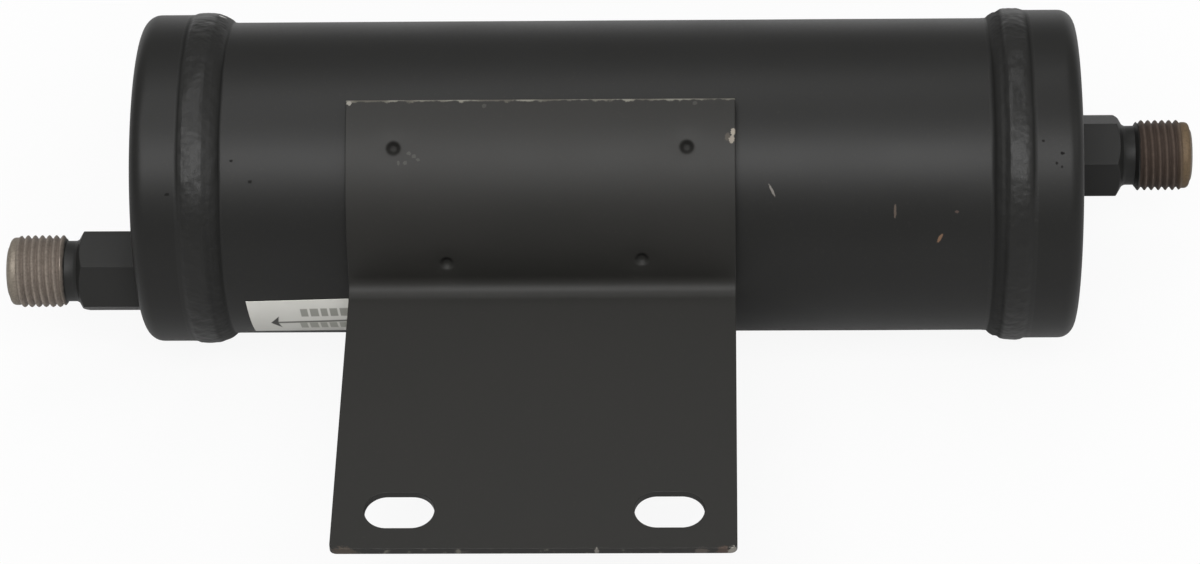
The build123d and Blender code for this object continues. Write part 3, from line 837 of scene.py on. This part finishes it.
for side, edges in loops.items():
    rims = {}
    for corner in sorted({corner for edge in edges for corner in edge}):
        x = columns[corner[0]] - side * slot_spacing / 2
        run = rows[corner[1]] - slot_run
        near = min(max(x, -straight), straight)
        facing = Vector((x - near, run)).normalized()
        for ring, reach in enumerate((slot_width / 2 + slot_ring, slot_width / 2)):
            for top in (True, False):
                rims[top, ring, corner] = len(vertices)
                vertices.append(bent(side * slot_spacing / 2 + near + facing.x * reach,
                                     slot_run + facing.y * reach, 0 if top else sheet))
                rubs.append(slot_rub * ring)
                pit_shades.append(0)
    for a, b in edges:
        for top in (True, False):
            faces.append([at[top, *a], at[top, *b], rims[top, 0, b], rims[top, 0, a]])
            faces.append([rims[top, 0, a], rims[top, 0, b], rims[top, 1, b], rims[top, 1, a]])
        faces.append([rims[True, 1, a], rims[True, 1, b], rims[False, 1, b], rims[False, 1, a]])
used = sorted({corner for face in faces for corner in face})
renumbered = {old: new for new, old in enumerate(used)}
bracket = skin("foot_bracket", [vertices[old] for old in used],
               [[renumbered[corner] for corner in face] for face in faces], 50,
               rubbed=[rubs[old] for old in used], hollow=[pit_shades[old] for old in used])
edge = bracket.modifiers.new("sheared_edge", "BEVEL")
edge.width = sheared_edge
edge.segments = 3
edge.limit_method = "ANGLE"
edge.angle_limit = radians(60)
foot_angle = atan2(sheet / 2 - axis_z, axis_y - foot_edge)
foot_reach = hypot(sheet / 2 - axis_z, axis_y - foot_edge)
# Specks: place along the can, elevation, length and turn, in mm and degrees.
specks = ((-25.2, 53.5, 0.7, 60), (-24.2, 52.5, 0.8, 0), (-23.4, 51.3, 0.6, 80), (-25.9, 50.3, 0.8, 20),
          (-27.2, 50.3, 0.5, 0), (-10.8, 70.1, 0.9, 0), (29.8, 70.7, 0.9, 0))
bracket_marks = [((x * mm, radians(elevation), saddle_radius, length * mm, 0.8 * mm, radians(turn)),
                  "#393835", 0.0, 0.5) for x, elevation, length, turn in specks]
# Chips on the saddle's edge: place along the can, elevation, length, width and colour.
saddle_chips = ((36.0, 58.7, 1.5, 1.0, "#403b35"), (36.8, 57.8, 1.6, 1.0, "#7c756b"),
                (37.1, 60.4, 1.3, 1.0, "#857e73"), (-36.9, 71.3, 1.0, 0.9, "#807d76"))
bracket_marks += [((x * mm, radians(elevation), saddle_radius, length * mm, width * mm, radians(80)),
                   code, 0.1, 0.5) for x, elevation, length, width, code in saddle_chips]
# Chips on the foot's edge: place along the can, length, width and colour.
foot_chips = ((-34.9, 4.4, 1.8, "#433c35"), (30.9, 2.4, 1.4, "#4b4540"), (11.7, 0.8, 1.5, "#6f6c66"),
              (35.0, 2.6, 1.8, "#453a33"), (36.7, 1.9, 1.7, "#7f7c75"))
bracket_marks += [((x * mm, foot_angle, foot_reach, length * mm, width * mm), code, 0.1, 0.55)
                  for x, length, width, code in foot_chips]
bracket_black = "#20201e", "#242321", "#2f2d2a"
bracket.data.materials.append(enamel("matt_black_enamel_on_bracket", bracket_black, 0.5, 0.24,
                                     orange_peel, bracket_peel_height, bracket_marks, rubbed=True,
                                     hollow=True))
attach(bracket, "root")
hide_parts("mounting_bracket")

# The flow label: thin silver-grey printed film, stuck slightly askew on the tube, with its right end behind
# the foot. The print is left plain: an arrow towards the outlet and two rows of bars.
label_low, label_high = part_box("flow_label")
label_x = (label_low.x + label_high.x) / 2
label_elevation = radians(-17.6)
label_length = 30.0 * mm
label_height = 14.2 * mm
label_skew = radians(2.2)
label_under = tube_radius + 0.05 * mm
label_top = tube_radius + 0.17 * mm


def on_label(along, up, radius):
    """A point of the film, from its own middle along the arrow's line and up round the can."""
    x = label_x + along * cos(label_skew) - up * sin(label_skew)
    elevation = label_elevation + (up * cos(label_skew) + along * sin(label_skew)) / label_under
    return hoop(x, radius, elevation)


alongs = np.linspace(-label_length / 2, label_length / 2, 61)
ups = np.linspace(-label_height / 2, label_height / 2, 41)
label_between = (label_top + label_under) / 2
section = [(up, label_top) for up in ups] + [(up, label_under) for up in ups[::-1]]
section += section[:1]
closed_end = [(up, label_between) for up, _ in section]
film_rows = [(alongs[0], closed_end)] + [(along, section) for along in alongs] + [(alongs[-1], closed_end)]
label = turned("flow_label_film",
               [[on_label(along, up, radius) for up, radius in row] for along, row in film_rows], 40,
               closed=False, along=[along for along, row in film_rows for _ in row],
               up=[up for _, row in film_rows for up, _ in row])
# Polyester film printed in silver-grey, with thin dark ink: pale, even and half matt.
arrow_up = -1.1 * mm
arrow_slope = 0.03
arrow_tip = -11.2 * mm
arrow_length = 1.9 * mm
arrow_half_width = 2.8 * mm
arrow_core = 1.5 * mm
arrow_barb = 0.15
shaft_half_width = 0.4 * mm
shaft_start = 1 * mm
film_cloud = 6 * mm
ink_blur = 0.1 * mm
bar_blur = 0.15 * mm
bar_spacing = 1.8 * mm
bars = ((2.7 * mm, 1.5 * mm, -5.0 * mm, 0.3, "#94948c"), (-3.2 * mm, 1.5 * mm, -5.7 * mm, 0.7, "#9f9f96"))
film = new_material("printed_silver_film")
place = add(film, "TexCoord", output="Object")
along = add(film, "Attribute", output="Fac", attribute_name="along")
up = add(film, "Attribute", output="Fac", attribute_name="up")
cloud = add(film, "TexNoise", {"Vector": place, "Scale": 1 / film_cloud, "Detail": 3.0})
silver = add(film, "Mix", {0: cloud, 6: linear("#cdccc5"), 7: linear("#d8d7d1")}, 2, data_type="RGBA")
off = add(film, "Math", {0: along, 1: -arrow_slope, 2: up}, operation="MULTIPLY_ADD")
off = add(film, "Math", {0: off, 1: arrow_up}, operation="SUBTRACT")
off = add(film, "Math", {0: off}, operation="ABSOLUTE")
behind = add(film, "Math", {0: along, 1: arrow_tip}, operation="SUBTRACT")
head = add(film, "Math", {0: behind, 1: arrow_half_width / arrow_length}, operation="MULTIPLY")
head = add(film, "Math", {0: head, 1: off}, operation="SUBTRACT")
head = add(film, "MapRange", {"Value": head, "From Min": -ink_blur, "From Max": 2 * ink_blur})
barb = add(film, "Math", {0: off, 1: -arrow_barb, 2: behind}, operation="MULTIPLY_ADD")
barb = add(film, "MapRange", {"Value": barb, "From Min": arrow_core + bar_blur,
                              "From Max": arrow_core - ink_blur})
head = add(film, "Math", {0: head, 1: barb}, operation="MULTIPLY")
shaft = add(film, "MapRange", {"Value": off, "From Min": shaft_half_width + ink_blur,
                               "From Max": shaft_half_width - ink_blur})
started = add(film, "MapRange", {"Value": behind, "From Min": shaft_start,
                                 "From Max": shaft_start + 2 * ink_blur})
shaft = add(film, "Math", {0: shaft, 1: started}, operation="MULTIPLY")
printed = add(film, "Mix", {0: shaft, 6: silver, 7: linear("#6a6a62")}, 2, data_type="RGBA")
printed = add(film, "Mix", {0: head, 6: printed, 7: linear("#2b2b26")}, 2, data_type="RGBA")
for row_up, row_half_height, row_start, shift, ink in bars:
    off = add(film, "Math", {0: up, 1: row_up}, operation="SUBTRACT")
    off = add(film, "Math", {0: off}, operation="ABSOLUTE")
    row = add(film, "MapRange", {"Value": off, "From Min": row_half_height + bar_blur,
                                 "From Max": row_half_height - bar_blur})
    started = add(film, "MapRange", {"Value": along, "From Min": row_start - ink_blur, "From Max": row_start})
    words = add(film, "Math", {0: along, 1: 1 / bar_spacing, 2: shift}, operation="MULTIPLY_ADD")
    words = add(film, "TexVoronoi", {"W": words, "Scale": 1.0, "Randomness": 0.7}, "Distance",
                voronoi_dimensions="1D", feature="DISTANCE_TO_EDGE")
    words = add(film, "MapRange", {"Value": words, "From Min": 0.1, "From Max": 0.16})
    row = add(film, "Math", {0: row, 1: started}, operation="MULTIPLY")
    row = add(film, "Math", {0: row, 1: words}, operation="MULTIPLY")
    printed = add(film, "Mix", {0: row, 6: printed, 7: linear(ink)}, 2, data_type="RGBA")
shader = add(film, "BsdfPrincipled", {"Base Color": printed, "Roughness": 0.5})
add(film, "OutputMaterial", {"Surface": shader})
label.data.materials.append(film)
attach(label, "root")
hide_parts("flow_label")

# The floor: a pale matt board under the can. It whitens outwards, so that it has no edge,
# and it shows the white of the room to the camera while it keeps the can's soft shadow.
floor_gap = 0.05 * mm
floor_half = 6.0
white_from, white_to, white_least = 0.08, 0.22, 0.92
mirror_from, mirror_to, mirror_least = 0.07, 0.25, 0.06
mirror_stretch = 0.45
shape = bmesh.new()
bmesh.ops.create_grid(shape, x_segments=40, y_segments=40, size=floor_half)
mesh = bpy.data.meshes.new("floor")
shape.to_mesh(mesh)
shape.free()
floor = bpy.data.objects.new("floor", mesh)
floor.location = (0, axis_y, cad_box[0][2] - floor_gap)
bpy.context.scene.collection.objects.link(floor)
board = new_material("matt_white_board")
place = add(board, "TexCoord", output="Object")
reach = add(board, "VectorMath", {0: place}, "Value", operation="LENGTH")
bright = add(board, "MapRange", {"Value": reach, "From Min": white_from, "From Max": white_to,
                                 "To Min": white_least}, interpolation_type="SMOOTHSTEP")
reach = add(board, "VectorMath", {0: place, 1: (mirror_stretch, 1, 1)}, operation="MULTIPLY")
reach = add(board, "VectorMath", {0: reach}, "Value", operation="LENGTH")
mirrored = add(board, "MapRange", {"Value": reach, "From Min": mirror_from, "From Max": mirror_to,
                                   "To Min": mirror_least}, interpolation_type="SMOOTHSTEP")
camera_ray = add(board, "LightPath", output="Is Camera Ray")
glossy_ray = add(board, "LightPath", output="Is Glossy Ray")
clear_ray = add(board, "LightPath", output="Is Transmission Ray")
seen = add(board, "Math", {0: camera_ray, 1: clear_ray}, operation="MAXIMUM")
bright = add(board, "Math", {0: bright, 1: seen}, operation="MULTIPLY")
mirrored = add(board, "Math", {0: mirrored, 1: glossy_ray}, operation="MULTIPLY")
bright = add(board, "Math", {0: bright, 1: mirrored}, operation="MAXIMUM")
matt = add(board, "BsdfDiffuse", {"Color": linear("#c6c6c6")})
white = add(board, "Emission", {"Color": linear("#ffffff"), "Strength": 1.0})
surface = add(board, "MixShader", {0: bright, 1: matt, 2: white})
add(board, "OutputMaterial", {"Surface": surface})
floor.data.materials.append(board)

# The light: a broad soft box over the viewer's shoulder and a long dim one high behind the can,
# in a dim white room.
world = bpy.data.worlds.new("studio")
bpy.context.scene.world = world
world.use_nodes = True
world.node_tree.nodes.clear()
camera_ray = add(world, "LightPath", output="Is Camera Ray")
room = add(world, "Background", {"Color": linear("#ffffff"), "Strength": 0.33})
backdrop = add(world, "Background", {"Color": linear("#ffffff"), "Strength": 1.0})
sky = add(world, "MixShader", {0: camera_ray, 1: room, 2: backdrop})
add(world, "OutputWorld", {"Surface": sky})
can_middle = Vector((12 * mm, axis_y, axis_z))


def soft_box(name, power, width, height, side, elevation, distance):
    """A soft box that faces the can from that elevation and distance; side is how far along X it stands."""
    light = bpy.data.lights.new(name, "AREA")
    light.shape = "RECTANGLE"
    light.size, light.size_y, light.energy = width, height, power
    lamp = bpy.data.objects.new(name, light)
    away = Vector((side, -cos(radians(elevation)) * distance, sin(radians(elevation)) * distance))
    lamp.location = can_middle + away
    lamp.rotation_euler = away.to_track_quat("Z", "Y").to_euler()
    bpy.context.scene.collection.objects.link(lamp)


soft_box("key_box", power=12.5, width=1.2, height=0.4, side=0.0, elevation=58, distance=1.15)
soft_box("back_strip", power=5.4, width=1.4, height=0.15, side=-0.25, elevation=100, distance=1.2)
soft_box("side_box", power=1.3, width=0.4, height=0.4, side=1.1, elevation=80, distance=0.65)

# The camera stands 0.84 m from the can's axis and looks down on the foot at 47 degrees,
# turned a little towards the outlet.
camera_place = Vector((35.48, -498.03, 597.18)) * mm
down_tilt, yaw, roll = radians(47), radians(1.71), radians(0.247)
ahead = Vector((0, cos(down_tilt), -sin(down_tilt)))
right = Vector((1, 0, 0))
ahead, right = ahead * cos(yaw) - right * sin(yaw), right * cos(yaw) + ahead * sin(yaw)
below = ahead.cross(right)
right, below = right * cos(roll) + below * sin(roll), below * cos(roll) - right * sin(roll)
camera = bpy.data.cameras.new("camera")
camera.lens = 126
camera.sensor_width = 36
viewer = bpy.data.objects.new("camera", camera)
viewer.matrix_world = Matrix.Translation(camera_place) @ Matrix((right, -below, -ahead)).transposed().to_4x4()
bpy.context.scene.collection.objects.link(viewer)
bpy.context.scene.camera = viewer
bpy.context.scene.view_settings.view_transform = "Standard"
